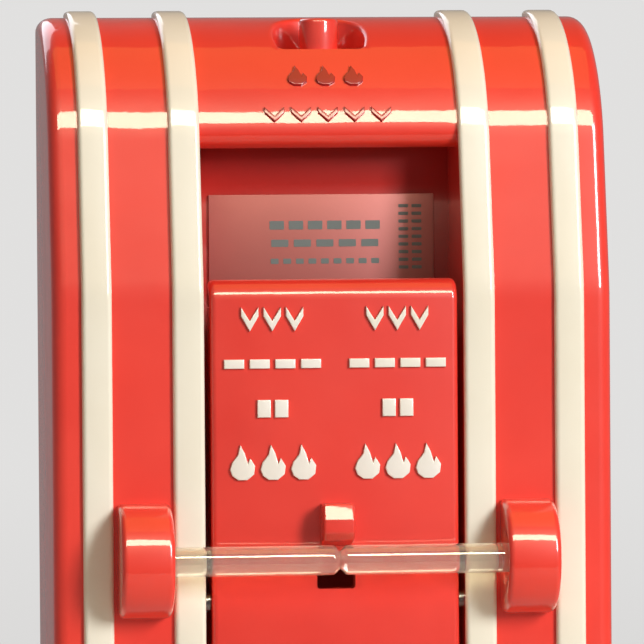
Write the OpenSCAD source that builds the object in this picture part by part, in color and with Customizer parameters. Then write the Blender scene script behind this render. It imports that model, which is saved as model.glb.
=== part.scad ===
// Wall-mounted manual fire alarm pull station with a break-glass rod.
// +Z is up, the front faces -Y, and the origin is the centre of the wall face.

/* [Body] */
// Width of the cover
body_w = 83.3; // [80:0.1:100]
// Height of the cover
body_h = 117; // [114:0.5:141]
// Depth from the wall to the faces of the cream strips
body_d = 30; // [28:0.5:36]
// Thickness of the cast cover's walls
wall_t = 2.4; // [2:0.1:3.2]
// Gap between the cover's rim and the wall
wall_gap = 0.8; // [0.5:0.1:1]
// Radius of the rounded top
top_r = 24; // [20:0.5:26]
// Radius of the rounded bottom
bottom_r = 22; // [18:0.5:24]
// Angle that the upper front leans back
lean_deg = 10.8; // [8:0.1:14]
// Radius of the upright corners
corner_r = 2.2; // [1.6:0.1:5]

/* [Cream strips] */
// How far a strip stands proud of the panels
strip_h = 1; // [0.6:0.1:1.4]
// Depth of the groove that a strip sits in
strip_seat = 0.6; // [0.3:0.1:0.9]
// Width of an inner strip
inner_strip_w = 4.7; // [3:0.1:6]
// Width of an outer strip
outer_strip_w = 4.5; // [3:0.1:6]
// Width of the red panel between two strips
panel_w = 8.9; // [8:0.1:14]

/* [Front opening] */
// Width of the opening for the lever and the fingers
opening_w = 38.6; // [36:0.1:42]
// Height of the opening's upper edge above the centre
opening_top = 37.5; // [36:0.5:42]
// Depth of the opening's lower edge below the centre
opening_bottom = 47; // [47:0.5:49]
// Depth of the finger pocket behind the strip faces
pocket_depth = 15.5; // [15:0.5:17]
// Thickness of the opening's cheeks, brow and sill
cheek_t = 2; // [1.6:0.1:2.4]

/* [Lever] */
// Gap between the lever and each cheek
lever_gap = 0.9; // [0.5:0.1:1.2]
// Height of the lever's grip above the centre
lever_top = 18.1; // [14:0.1:20]
// Depth of the lever's tail below the centre
lever_bottom = 45; // [43:0.1:45]
// Thickness of the lever's face
lever_t = 3; // [2.4:0.1:3.4]
// Radius of the grip and of the tail's edge
lever_round = 3; // [2:0.1:3.2]
// Thickness of the lever's side flanges
flange_t = 2.4; // [2:0.1:3]
// Depth of the pivot behind the strip faces
pivot_depth = 8.5; // [8:0.1:9]
// Depth of the pivot below the centre
pivot_drop = 30; // [29.5:0.1:31]
// Diameter of the lever's pin
lever_pin_d = 3; // [2.5:0.1:4]

/* [Glass rod] */
// Diameter of the rod
rod_d = 4.4; // [4:0.1:4.6]
// Distance of the rod's axis in front of the strip faces
rod_front = 4; // [3.8:0.1:4.2]
// Depth of the rod below the centre
rod_drop = 23.1; // [22.5:0.1:23.5]
// Radius of the ears that hold the rod
ear_r = 8.5; // [8.2:0.1:9]
// Depth of the groove scored round the middle of the rod
score_depth = 0.9; // [0.6:0.1:1.2]

/* [Cover hinge and screw] */
// Diameter of the hinge pin
hinge_pin_d = 3; // [2.5:0.1:3.4]
// Distance of the hinge axis from the wall
hinge_out = 5.5; // [5.2:0.1:5.8]
// Height of the hinge axis above the cover's underside
hinge_up = 6; // [5.8:0.1:6.4]
// Radius of the hinge knuckles
knuckle_r = 3; // [2.6:0.1:3.1]
// Diameter of the screw's head
screw_head_d = 5.8; // [5:0.1:7]
// Diameter of the screw's shank
screw_d = 4; // [3:0.1:4.4]
// Diameter of the pocket round the screw's head
screw_pocket_d = 13.7; // [12:0.1:15]
// Distance of the screw's axis from the wall
screw_out = 13; // [12:0.5:13.5]
// Depth of the screw pocket's floor below the top
screw_pocket_drop = 6.2; // [6:0.1:7]

/* [Back plate] */
// Thickness of the back plate
plate_t = 2; // [1.6:0.1:2.2]
// Gap between the back plate and the cover's walls
plate_gap = 0.8; // [0.5:0.1:1.2]
// Upright spacing of the two wall screws
wall_screw_pitch = 83.3; // [83.3:0.1:83.3]
// Width of the slots for the wall screws
slot_w = 4.4; // [4.2:0.1:4.8]
// Length of the slots for the wall screws
slot_len = 8; // [6:0.5:10]
// Width of the hole that the switch passes through
plate_hole_w = 50; // [46:0.5:52]
// Height of the hole that the switch passes through
plate_hole_h = 66; // [60:0.5:68]

/* [Switch] */
// Width of the switch
switch_w = 26; // [22:0.5:30]
// Height of the switch
switch_h = 34; // [30:0.5:38]
// How far the switch reaches behind the wall face
switch_back = 8; // [6:0.5:10]
// Depth of the plunger below the centre
plunger_drop = 8; // [6:0.5:10]
// Diameter of the plunger
plunger_d = 5; // [4:0.1:6]
// How far the plunger springs out when the lever is pulled
plunger_travel = 2.5; // [2:0.1:3]

/* [Fits] */
// Radial clearance of a shaft that turns or slides in its hole
run_gap = 0.06; // [0.03:0.01:0.1]
// Gap between neighbours that move past each other
clear_gap = 0.4; // [0.3:0.05:0.6]

/* [Symbols] */
// Height of the raised symbols on the lever
symbol_h = 0.5; // [0.3:0.1:0.8]
// Height of the raised symbols on the brow
brow_symbol_h = 0.4; // [0.2:0.1:0.6]

/* [Hidden] */
$fn = 64;
arc_steps = 14;
eps = 0.02;

half_w = body_w/2;
half_h = body_h/2;
panel_y = strip_h;
strip_x = opening_w/2;
outer_x = strip_x + inner_strip_w + panel_w;
ear_x0 = strip_x + inner_strip_w + 0.6;
ear_x1 = outer_x - 0.5;
pocket_y = -body_d + pocket_depth;
inner_plate_t = 1.5;
inner_plate_half_w = half_w - wall_t - 6.5;
inner_plate_top = opening_top + cheek_t;
inner_plate_bottom = -opening_bottom - cheek_t;

hinge_y = -hinge_out;
hinge_z = -half_h + panel_y + hinge_up;
hinge_swing_r = hinge_out - 0.2;
hinge_pin_half = 29;
knuckle_x = 20;
knuckle_w = 4;
lug_x = knuckle_x + knuckle_w + clear_gap;
lug_w = 2;
clip_t = 0.7;

screw_y = -screw_out;
pocket_floor_z = half_h - screw_pocket_drop;
boss_floor_t = 3;
boss_wall = 1.8;
tab_t = 1.8;
tab_half_w = 9;
tab_front = 3.5;
retainer_t = 0.8;
tab_z = pocket_floor_z - boss_floor_t - retainer_t - 2*clear_gap;
nut_t = 2.4;
nut_z = tab_z - tab_t - clear_gap - nut_t;
head_h = 4.6;

plate_half_w = half_w - wall_t - plate_gap;
plate_top = half_h - panel_y - wall_t - plate_gap;
plate_bottom = hinge_z - 2.5;

lever_y = -body_d + 0.2;
lever_half_w = opening_w/2 - lever_gap;
pivot_y = -body_d + pivot_depth;
pivot_z = -pivot_drop;
flange_r = pocket_y - pivot_y - clear_gap;
strike_z = -plunger_drop;
strike_gap = 0.35;
strike_y = pocket_y - 2.2;
strike_t = 1.2;
rivet_r = 1.25;
rivet_z = [strike_z + 5.9, strike_z + 10.7];

rod_y = -body_d - rod_front;
rod_z = -rod_drop;
rod_r = rod_d/2;
rod_pivot_x = ear_x0;
mouth_r = 4;
mouth_bore_r = rod_r + clear_gap;

switch_y0 = pocket_y + inner_plate_t;
switch_y1 = switch_back;
switch_top = strike_z + switch_h/2;
terminal_x = 6.5;
terminal_z = 8;
boss_points = [[inner_plate_half_w - 5, 31], [inner_plate_half_w - 5, -38]];
boss_r = 3;
small_screw_r = 1.4;

// ---- Outline of the front, seen from the side ----

function arc(cy, cz, r, a0, a1) = [for (i = [0 : arc_steps])
    let (a = a0 + (a1 - a0)*i/arc_steps) [cy - r*cos(a), cz + r*sin(a)]];

top_cz = half_h - top_r;
lean_z0 = 16.5;
lean_z1 = top_cz + top_r*sin(lean_deg);
top_cy = -body_d + (lean_z1 - lean_z0)*tan(lean_deg) + top_r*cos(lean_deg);
bottom_cz = -half_h + bottom_r;
bottom_cy = -body_d + bottom_r;

// The outline at a depth t under the strip faces, closed along the plane y = back.
function outline(t, back) = concat(
    [[back, half_h - t]],
    arc(top_cy, top_cz, top_r - t, 90, lean_deg),
    [[-body_d + t, lean_z0 - t*tan(lean_deg/2)]],
    arc(bottom_cy, bottom_cz, bottom_r - t, 0, -90),
    [[back, -half_h + t]]);

// Extrudes a side outline in (y, z) from x0 to x1.
module across(x0, x1) {
    translate([x0, 0, 0]) rotate([90, 0, 90]) linear_extrude(x1 - x0) children();
}

// Extrudes a front outline in (x, z) from y0, the front, to y1, the back.
module deep(y0, y1) {
    translate([0, y1, 0]) rotate([90, 0, 0]) linear_extrude(y1 - y0) children();
}

module box(low, high) {
    translate(low) cube(high - low);
}

module x_rod(x0, x1, y, z, r) {
    translate([x0, y, z]) rotate([0, 90, 0]) cylinder(h = x1 - x0, r = r);
}

module y_rod(y0, y1, x, z, r) {
    translate([x, y1, z]) rotate([90, 0, 0]) cylinder(h = y1 - y0, r = r);
}

module both_sides() {
    for (side = [0, 1]) mirror([side, 0, 0]) children();
}

// A pan-head screw along Y with its head at the back.
module back_screw(x, z, y0, y1, r, head_r, head_t) {
    difference() {
        union() {
            y_rod(y0, y1, x, z, r);
            y_rod(y1, y1 + head_t, x, z, head_r);
        }
        box([x - head_r, y1 + head_t - 0.6, z - 0.4], [x + head_r, y1 + head_t + 1, z + 0.4]);
    }
}

// ---- Cover ----

module cover_outer() {
    intersection() {
        across(-half_w, half_w) polygon(outline(panel_y, -wall_gap));
        translate([0, 0, -half_h]) linear_extrude(body_h) union() {
            translate([-half_w, -body_d + panel_y + corner_r]) square([body_w, body_d]);
            translate([-half_w + corner_r, -body_d + panel_y]) square([body_w - 2*corner_r, body_d]);
            for (x = [-1, 1]) translate([x*(half_w - corner_r), -body_d + panel_y + corner_r])
                circle(corner_r);
        }
    }
}

module cover_hollow() {
    across(-half_w + wall_t, half_w - wall_t) polygon(outline(panel_y + wall_t, 1));
}

module rib_band(x0, x1, t0, t1) {
    across(x0, x1) difference() {
        polygon(outline(t0, -wall_gap));
        polygon(outline(t1, 1));
    }
}

module opening_frame() {
    intersection() {
        box([-strip_x - cheek_t, -body_d, inner_plate_bottom],
            [strip_x + cheek_t, pocket_y, inner_plate_top]);
        cover_outer();
    }
}

module front_cover() color("#e8402f") difference() {
    union() {
        difference() {
            cover_outer();
            cover_hollow();
        }
        opening_frame();
        both_sides() for (p = boss_points) intersection() {
            y_rod(-body_d, pocket_y, p[0], p[1], boss_r);
            cover_outer();
        }
        both_sides() x_rod(ear_x0, ear_x1, -body_d, rod_z, ear_r);
        intersection() {
            translate([0, screw_y, pocket_floor_z - boss_floor_t])
                cylinder(h = body_h, r = screw_pocket_d/2 + boss_wall);
            cover_outer();
        }
        both_sides() {
            x_rod(knuckle_x, knuckle_x + knuckle_w, hinge_y, hinge_z, knuckle_r);
            box([knuckle_x, hinge_y - 5, -half_h + panel_y + eps],
                [knuckle_x + knuckle_w, hinge_y, hinge_z + knuckle_r]);
        }
    }
    box([-strip_x, -body_d - 1, -opening_bottom], [strip_x, 1, opening_top]);
    both_sides() {
        // The hollow inside the ear's foot, level with the inside of the panel.
        box([ear_x0 - 1, -body_d + panel_y + wall_t, rod_z - ear_r - 1],
            [ear_x1 + 1, 1, rod_z + ear_r + 1]);
        translate([ear_x0 - eps, rod_y, rod_z]) rotate([0, 90, 0])
            cylinder(h = mouth_r - mouth_bore_r + eps, r1 = mouth_r + eps, r2 = mouth_bore_r);
        x_rod(ear_x0 - eps, ear_x0 + rod_r + clear_gap + 0.2, rod_y, rod_z, mouth_bore_r);
        x_rod(knuckle_x - 1, knuckle_x + knuckle_w + 1, hinge_y, hinge_z, hinge_pin_d/2 + run_gap);
        for (p = boss_points) y_rod(pocket_y - 6, 1, p[0], p[1], small_screw_r);
        groove(strip_x, inner_strip_w);
        groove(outer_x, outer_strip_w);
    }
    x_rod(-half_w + 6, half_w - 6, pivot_y, pivot_z, lever_pin_d/2 + eps);
    translate([0, screw_y, pocket_floor_z]) cylinder(h = body_h, r = screw_pocket_d/2);
    translate([0, screw_y, 0]) cylinder(h = body_h, r = screw_d/2 + 0.2);
    hinge_room();
}

// Room behind the hinge down to a swing radius, over |x| < w.
module swing_room(w, front, r) {
    difference() {
        box([-w, hinge_y - front, -half_h - 1], [w, 1, hinge_z]);
        x_rod(-w - 1, w + 1, hinge_y, hinge_z, r);
    }
}

// The side walls swing clear of the wall, and between them the underside clears the back plate.
module hinge_room(front = 1.5) {
    swing_room(half_w + 1, front, hinge_swing_r);
    swing_room(half_w - wall_t, front, knuckle_r);
}

module groove(x0, w) {
    rib_band(x0, x0 + w, -1, panel_y + strip_seat);
}

module strip(x0, w) color("#f1ecd6") difference() {
    rib_band(x0, x0 + w, 0, panel_y + strip_seat);
    hinge_room(3.4);
}

module strip_outer_right() strip(outer_x, outer_strip_w);
module strip_outer_left() mirror([1, 0, 0]) strip_outer_right();
module strip_inner_right() strip(strip_x, inner_strip_w);
module strip_inner_left() mirror([1, 0, 0]) strip_inner_right();

// ---- Symbols ----

// A flame of unit height, standing on z = 0.
module flame() {
    polygon([[-0.12, 0], [0.12, 0], [0.3, 0.16], [0.33, 0.4], [0.2, 0.62], [0.14, 0.45], [0.06, 0.75],
        [-0.06, 1], [-0.12, 0.72], [-0.28, 0.5], [-0.34, 0.3], [-0.28, 0.12]]);
}

// A chevron of unit height and width that points down.
module chevron() {
    polygon([[-0.5, 1], [-0.5, 0.62], [0, 0], [0.5, 0.62], [0.5, 1], [0, 0.42]]);
}

// Copies of a shape in a row w wide, centred on (x, z), each scaled to s.
module row(n, x, z, w, s) {
    for (i = [0 : n - 1])
        translate([x + w*((i + 0.5)/n - 0.5), z - s[1]/2]) scale(s) children();
}

column_x = lever_half_w*0.505;
row_scale = lever_half_w/18.4;
arrow_row_z = 12.3;
bar_row_z = 5.7;
dot_row_z = -0.9;
flame_row_z = -8.8;

module lever_symbols() color("#f3ecda") deep(lever_y - symbol_h, lever_y)
    for (side = [-1, 1]) {
        row(3, side*column_x, arrow_row_z, 10*row_scale, [2.6*row_scale, 3.6]) chevron();
        row(4, side*column_x, bar_row_z, 15.2*row_scale, [3*row_scale, 3.4])
            translate([-0.5, 0.3]) square([1, 0.4]);
        row(2, side*column_x, dot_row_z, 5.2*row_scale, [2*row_scale, 2.6]) translate([-0.5, 0]) square(1);
        row(3, side*column_x, flame_row_z, 13.6*row_scale, [5.6*row_scale, 5.2]) flame();
    }

module brow_symbols() color("#d83222") intersection() {
    deep(-body_d, -wall_gap - 6) union() {
        row(3, 0, 48.2, 12.6, [4.4, 3.6]) flame();
        row(5, 0, 42.4, 20, [3, 2.4]) chevron();
    }
    rib_band(-strip_x, strip_x, panel_y - brow_symbol_h, panel_y);
}

// ---- Pieces fixed inside the cover ----

module inner_plate() color("#c93226") difference() {
    deep(pocket_y, pocket_y + inner_plate_t) difference() {
        translate([-inner_plate_half_w, inner_plate_bottom])
            square([2*inner_plate_half_w, inner_plate_top - inner_plate_bottom]);
        for (x = [-1, 1]) translate([x*inner_plate_half_w - 6, hinge_z])
            square([12, knuckle_r + 7]);
    }
    y_rod(pocket_y - 1, pocket_y + 5, 0, strike_z, plunger_d/2 + 1);
    for (x = [-1, 1]) for (p = boss_points)
        y_rod(pocket_y - 1, pocket_y + 5, x*p[0], p[1], small_screw_r + 0.2);
    for (x = [-1, 1]) for (z = [-1, 1])
        y_rod(pocket_y - 1, pocket_y + 5, x*(switch_w/2 - 3), strike_z + z*(switch_h/2 - 3), 1.3);
    y_rod(pocket_y - 1, pocket_y + 5, 0, hold_screw_z, 1.3);
}

module inner_plate_screws() color("#b9bcc0")
    for (x = [-1, 1]) for (p = boss_points)
        back_screw(x*p[0], p[1], pocket_y - 5.5, switch_y0, small_screw_r, 2.6, 1.6);

label_half_w = strip_x - 2.3;
label_top = 30.6;
label_bottom = 1;
label_t = 0.5;
module label_plate() color("#c98f88")
    box([-label_half_w, pocket_y - label_t, label_bottom], [label_half_w, pocket_y, label_top]);

pin_half = strip_x + cheek_t + clip_t + 0.6;
module lever_pin() color("#c3c6ca") x_rod(-pin_half, pin_half, pivot_y, pivot_z, lever_pin_d/2);

module clip(x, y, z, r) {
    difference() {
        x_rod(x, x + clip_t, y, z, r + 1.2);
        x_rod(x - 1, x + clip_t + 1, y, z, r);
        box([x - 1, y - r*0.7, z - r - 2], [x + clip_t + 1, y + r*0.7, z]);
    }
}

module lever_pin_clips() color("#8d9094") both_sides()
    clip(strip_x + cheek_t + eps, pivot_y, pivot_z, lever_pin_d/2);

// A leaf spring on the inner plate that holds the pulled lever down.
hold_screw_z = -opening_bottom + clear_gap + 2.9;
leaf_t = 0.5;
module hold_spring() color("#cfd2d5") difference() {
    across(-4, 4) polygon([for (p = [[0, 0], [0, 6.2], [-1.6, 10.2], [-1.2, 12.1],
        [-1.2 - leaf_t, 12.1], [-1.6 - leaf_t, 10.1], [-leaf_t, 6], [-leaf_t, 0]])
        [pocket_y + p[0], -opening_bottom + clear_gap + p[1]]]);
    y_rod(pocket_y - 2, pocket_y + 2, 0, hold_screw_z, 1.3);
}

module hold_spring_screw() color("#b9bcc0") union() {
    y_rod(pocket_y - leaf_t - 1, pocket_y - leaf_t, 0, hold_screw_z, 2.2);
    y_rod(pocket_y - leaf_t, pocket_y + inner_plate_t + 2, 0, hold_screw_z, 1.25);
}

// ---- Switch ----

chamber_depth = 9;
chamber_r = plunger_d/2 + 0.8;
plunger_shoulder = 3;
plunger_guide = 4;
switch_back_t = 3;
terminal_wall = 1.5;

module switch_block(y0, y1) {
    box([-switch_w/2, y0, strike_z - switch_h/2], [switch_w/2, y1, strike_z + switch_h/2]);
}

module switch_body() color("#26262a") difference() {
    switch_block(switch_y0, switch_y1 - switch_back_t);
    y_rod(switch_y0 - 1, switch_y0 + plunger_guide + 1, 0, strike_z, plunger_d/2 + run_gap);
    y_rod(switch_y0 + plunger_guide, switch_y0 + plunger_guide + chamber_depth, 0, strike_z, chamber_r);
    for (x = [-1, 1]) for (z = [-1, 1])
        y_rod(switch_y0 - 1, switch_y1, x*(switch_w/2 - 3), strike_z + z*(switch_h/2 - 3), 1.25);
}

module switch_back_cover() color("#3a3a40") difference() {
    union() {
        switch_block(switch_y1 - switch_back_t, switch_y1);
        for (x = [-1, 0, 1]) box([x*(terminal_x*2 - 1) - 0.9, switch_y1, strike_z - switch_h/2 + 5],
            [x*(terminal_x*2 - 1) + 0.9, switch_y1 + 5, strike_z + switch_h/2 - 5]);
    }
    for (x = [-1, 1]) for (z = [-1, 1]) {
        y_rod(switch_y0, switch_y1 + 1, x*(switch_w/2 - 3), strike_z + z*(switch_h/2 - 3), 1.25);
        y_rod(switch_y0, switch_y1 + 1, x*(terminal_x - 0.5), strike_z + z*terminal_z, 1.5);
    }
}

module switch_screws() color("#b9bcc0")
    for (x = [-1, 1]) for (z = [-1, 1])
        back_screw(x*(switch_w/2 - 3), strike_z + z*(switch_h/2 - 3), pocket_y, switch_y1, 1.2,
            2.2, 1.4);

module terminal_plates() color("#c9a24a")
    for (x = [-1, 1]) for (z = [-1, 1]) difference() {
        box([x*(terminal_x - 0.5) - 3.8, switch_y1, strike_z + z*terminal_z - 3.8],
            [x*(terminal_x - 0.5) + 3.8, switch_y1 + 1, strike_z + z*terminal_z + 3.8]);
        y_rod(switch_y0, switch_y1 + 2, x*(terminal_x - 0.5), strike_z + z*terminal_z, 1.5);
    }

module terminal_screws() color("#d6b45c")
    for (x = [-1, 1]) for (z = [-1, 1])
        back_screw(x*(terminal_x - 0.5), strike_z + z*terminal_z, switch_y1 - 3, switch_y1 + 1, 1.4,
            2.9, 1.8);

// Plunger: a nose through the inner plate, a stem in the guide and a shoulder in the chamber.
nose_y = strike_y + strike_gap;
shoulder_y = switch_y0 + plunger_guide + plunger_travel + 0.3;
module switch_plunger() color("#e9e5da") union() {
    y_rod(nose_y + 1, shoulder_y, 0, strike_z, plunger_d/2);
    y_rod(nose_y, nose_y + 1, 0, strike_z, plunger_d/2 - 0.7);
    y_rod(shoulder_y, shoulder_y + 1.2, 0, strike_z, plunger_d/2 + 0.4);
}

// A coil spring behind the plunger's shoulder: one wire swept along a helix.
wire_r = 0.3;
coil_r = plunger_d/2 - 0.2;
coil_turns = 4;
ring_sides = 8;
rings_per_turn = 16;
coil_y0 = shoulder_y + 1.2 + 0.35 + wire_r;
coil_y1 = switch_y0 + plunger_guide + chamber_depth - wire_r - 0.05;
function coil_point(i, s) = let (
    n = coil_turns*rings_per_turn,
    turn = 360*i/rings_per_turn,
    a = 360*s/ring_sides,
    r = coil_r + wire_r*cos(a))
    [r*cos(turn), coil_y0 + (coil_y1 - coil_y0)*i/n + wire_r*sin(a), strike_z + r*sin(turn)];
module plunger_spring() color("#9da1a6") {
    n = coil_turns*rings_per_turn;
    points = [for (i = [0 : n]) for (s = [0 : ring_sides - 1]) coil_point(i, s)];
    sides = [for (i = [0 : n - 1]) for (s = [0 : ring_sides - 1])
        let (t = (s + 1)%ring_sides, a = i*ring_sides, b = a + ring_sides)
        [a + s, a + t, b + t, b + s]];
    first = [for (s = [0 : ring_sides - 1]) ring_sides - 1 - s];
    last = [for (s = [0 : ring_sides - 1]) n*ring_sides + s];
    polyhedron(points = points, faces = concat(sides, [first], [last]));
}

// ---- Cover screw ----

module cover_screw() color("#d5402f") difference() {
    union() {
        translate([0, screw_y, pocket_floor_z + eps]) cylinder(h = head_h, r = screw_head_d/2);
        translate([0, screw_y, nut_z - 0.3]) cylinder(h = pocket_floor_z - nut_z + 1, r = screw_d/2);
    }
    translate([0, screw_y, pocket_floor_z + head_h - 2]) cylinder(h = 4, r = 1.6, $fn = 6);
}

module screw_retainer() color("#8d9094")
    translate([0, screw_y, pocket_floor_z - boss_floor_t - retainer_t - 0.1]) difference() {
        cylinder(h = retainer_t, r = screw_d/2 + 1.2);
        translate([0, 0, -1]) cylinder(h = 3, r = screw_d/2 + run_gap);
    }

// The nut under the back plate's tab, turned by the screw.
module clamp_nut() color("#c8a34e")
    translate([0, screw_y, nut_z]) difference() {
        cylinder(h = nut_t, r = 4.4, $fn = 6);
        translate([0, 0, -1]) cylinder(h = 5, r = screw_d/2 + eps);
    }

// ---- Lever ----

nub_half_w = 2.35;
slot_half_w = 2.85;
nub_outline = [[0.5, 8.2], [-3.7, 8.2], [-4.6, 5.9], [-4.6, 4.2], [-3.4, 2.8], [0.5, 1.6]];

module lever_face_outline() {
    r = lever_round;
    polygon(concat(
        [[lever_y + lever_t + 2, lever_top]],
        [for (i = [0 : 8]) let (a = 90 + 90*i/8)
            [lever_y + r + r*cos(a), lever_top - r + r*sin(a)]],
        [for (i = [0 : 8]) let (a = 180 + 90*i/8)
            [lever_y + r + r*cos(a), -lever_bottom + r + r*sin(a)]],
        [[lever_y + lever_t, -lever_bottom], [lever_y + lever_t, lever_top - 3],
         [lever_y + lever_t + 2, lever_top - 1.6]]));
}

module lever_flange_outline() {
    polygon([[lever_y + 1, lever_top - 4], [lever_y + lever_t + 3, lever_top - 4],
        [pivot_y + flange_r - 0.6, pivot_z + 2], [pivot_y + flange_r - 1, pivot_z - 2.5],
        [lever_y + lever_t + 2, -lever_bottom + 3], [lever_y + 1, -lever_bottom + 3]]);
    translate([pivot_y, pivot_z]) circle(flange_r);
}

module pull_lever() color("#ea4433") difference() {
    union() {
        across(-lever_half_w, lever_half_w) lever_face_outline();
        both_sides() across(lever_half_w - flange_t, lever_half_w) lever_flange_outline();
        across(-nub_half_w, nub_half_w)
            polygon([for (p = nub_outline) [lever_y + p[0], rod_z + p[1]]]);
    }
    x_rod(-half_w, half_w, pivot_y, pivot_z, lever_pin_d/2 + run_gap);
    x_rod(-nub_half_w - 1, nub_half_w + 1, rod_y, rod_z, rod_r + clear_gap);
    box([-slot_half_w, lever_y - 1, rod_z - 4.5], [slot_half_w, lever_y + 6, rod_z - 1.6]);
    for (z = rivet_z) y_rod(lever_y + lever_t - 1.6, lever_y + 9, 0, z, rivet_r + 0.05);
}

// A folded steel foot on the lever's back that presses the switch's plunger.
module lever_strike() color("#b4b7bb") {
    y0 = lever_y + lever_t;
    difference() {
        union() {
            box([-5, y0, strike_z + 2.2], [5, y0 + strike_t, strike_z + 13]);
            box([-5, y0, strike_z + 2.2], [5, strike_y, strike_z + 2.2 + strike_t]);
            box([-5, strike_y - strike_t, strike_z - 3.5], [5, strike_y, strike_z + 3.4]);
        }
        for (z = rivet_z) y_rod(lever_y, y0 + 3, 0, z, rivet_r + 0.05);
    }
}

module lever_strike_rivets() color("#9da1a6")
    for (z = rivet_z) {
        y_rod(lever_y + lever_t - 1.5, lever_y + lever_t + strike_t, 0, z, rivet_r);
        y_rod(lever_y + lever_t + strike_t, lever_y + lever_t + strike_t + 0.9, 0, z, rivet_r + 0.95);
    }

// ---- Glass rod ----

module glass_half() color([0.85, 0.88, 0.8, 0.6]) union() {
    translate([rod_pivot_x, rod_y, rod_z]) sphere(rod_r);
    x_rod(score_depth, rod_pivot_x, rod_y, rod_z, rod_r);
    translate([eps, rod_y, rod_z]) rotate([0, 90, 0])
        cylinder(h = score_depth - eps, r1 = rod_r - score_depth, r2 = rod_r);
}

module glass_rod_right() glass_half();
module glass_rod_left() mirror([1, 0, 0]) glass_half();

// ---- Back plate and hinge ----

module back_plate() color("#a9adb1") difference() {
    union() {
        box([-plate_half_w, -plate_t, plate_bottom], [plate_half_w, 0, plate_top]);
        both_sides() {
            x_rod(lug_x, lug_x + lug_w, hinge_y, hinge_z, knuckle_r);
            box([lug_x, hinge_y, hinge_z - knuckle_r + 0.6], [lug_x + lug_w, -plate_t + eps,
                hinge_z + knuckle_r + 4]);
        }
        box([-tab_half_w, screw_y - tab_front, tab_z - tab_t], [tab_half_w, -plate_t + eps, tab_z]);
    }
    box([-plate_hole_w/2, -plate_t - 1, -plate_hole_h/2], [plate_hole_w/2, 1, plate_hole_h/2]);
    for (z = [-1, 1]) translate([0, 0, z*wall_screw_pitch/2]) {
        for (e = [-1, 1]) y_rod(-plate_t - 1, 1, 0, e*(slot_len - slot_w)/2, slot_w/2);
        box([-slot_w/2, -plate_t - 1, -(slot_len - slot_w)/2], [slot_w/2, 1, (slot_len - slot_w)/2]);
    }
    // The tab's slot is open to the front, so the screw leaves it as the cover swings out.
    box([-screw_d/2 - 0.4, screw_y - 10, tab_z - tab_t - 1], [screw_d/2 + 0.4, screw_y, tab_z + 1]);
    translate([0, screw_y, tab_z - tab_t - 1]) cylinder(h = tab_t + 2, r = screw_d/2 + 0.4);
    x_rod(-half_w, half_w, hinge_y, hinge_z, hinge_pin_d/2 + eps);
    y_rod(-plate_t - 1, 1, ground_x, ground_z, 1.5);
}

ground_x = 17;
ground_z = -plate_hole_h/2 - 3.6;
module ground_screw() color("#3f9a55") difference() {
    union() {
        y_rod(-plate_t, 4, ground_x, ground_z, 1.45);
        y_rod(-plate_t - 1.8, -plate_t, ground_x, ground_z, 3.2);
    }
    box([ground_x - 4, -plate_t - 3, ground_z - 0.4], [ground_x + 4, -plate_t - 1.2, ground_z + 0.4]);
}

module hinge_pin() color("#c3c6ca")
    x_rod(-hinge_pin_half, hinge_pin_half, hinge_y, hinge_z, hinge_pin_d/2);

module hinge_clips() color("#8d9094") both_sides()
    clip(lug_x + lug_w + eps, hinge_y, hinge_z, hinge_pin_d/2);

back_plate();
hinge_pin();
hinge_clips();
ground_screw();
front_cover();
strip_outer_left();
strip_outer_right();
strip_inner_left();
strip_inner_right();
brow_symbols();
inner_plate();
inner_plate_screws();
label_plate();
lever_pin();
lever_pin_clips();
hold_spring();
hold_spring_screw();
switch_body();
switch_back_cover();
switch_screws();
plunger_spring();
terminal_plates();
terminal_screws();
screw_retainer();
cover_screw();
clamp_nut();
pull_lever();
lever_symbols();
lever_strike();
lever_strike_rivets();
switch_plunger();
glass_rod_left();
glass_rod_right();
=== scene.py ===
# %% [markdown]
# # A break-glass fire alarm pull station
#
# The real object is a small zinc die casting that hangs on a wall. A glass rod lies across a pull
# lever, and pulling the lever snaps the rod and sets off a switch behind it. The castings are
# enamelled in a glossy orange red, and four proud strips are enamelled in cream.
#
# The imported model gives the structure, the sizes and everything that moves. This script gives each
# visible piece its real surface: rounded cast edges, turned and pressed metal, glass and enamel.

# %% Load the frame and keep its box
from math import acos, asin, atan2, cos, hypot, pi, radians, sin, sqrt, tan

import bmesh
import bpy
from mathutils import Matrix, Vector


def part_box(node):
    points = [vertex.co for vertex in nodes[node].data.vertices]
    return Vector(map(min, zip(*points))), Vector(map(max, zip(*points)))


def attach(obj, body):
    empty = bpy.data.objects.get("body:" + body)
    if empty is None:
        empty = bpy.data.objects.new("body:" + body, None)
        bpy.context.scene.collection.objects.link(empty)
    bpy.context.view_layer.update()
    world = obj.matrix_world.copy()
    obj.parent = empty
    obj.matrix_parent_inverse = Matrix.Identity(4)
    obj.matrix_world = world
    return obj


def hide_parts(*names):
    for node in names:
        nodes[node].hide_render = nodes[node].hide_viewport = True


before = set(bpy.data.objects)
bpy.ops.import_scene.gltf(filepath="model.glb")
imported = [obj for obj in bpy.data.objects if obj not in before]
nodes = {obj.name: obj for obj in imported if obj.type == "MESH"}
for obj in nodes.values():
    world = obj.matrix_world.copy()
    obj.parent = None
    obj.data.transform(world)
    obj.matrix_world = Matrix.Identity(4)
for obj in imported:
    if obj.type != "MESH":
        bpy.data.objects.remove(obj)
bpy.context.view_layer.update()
MM = 0.001


# %% [markdown]
# ## Sizes that the pieces share
#
# A designer of the casting starts from a few driving sizes, and the rest follows from them. The
# frame gives the places of the nodes, so most sizes here are read from their boxes. What a box
# can't say, such as a radius, is written once as a named value in millimetres.

# %% Driving sizes, in millimetres
def node_box(name):
    """The lowest and the highest corner of a node, in millimetres."""
    low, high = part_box(name)
    return Vector(low) / MM, Vector(high) / MM


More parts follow.
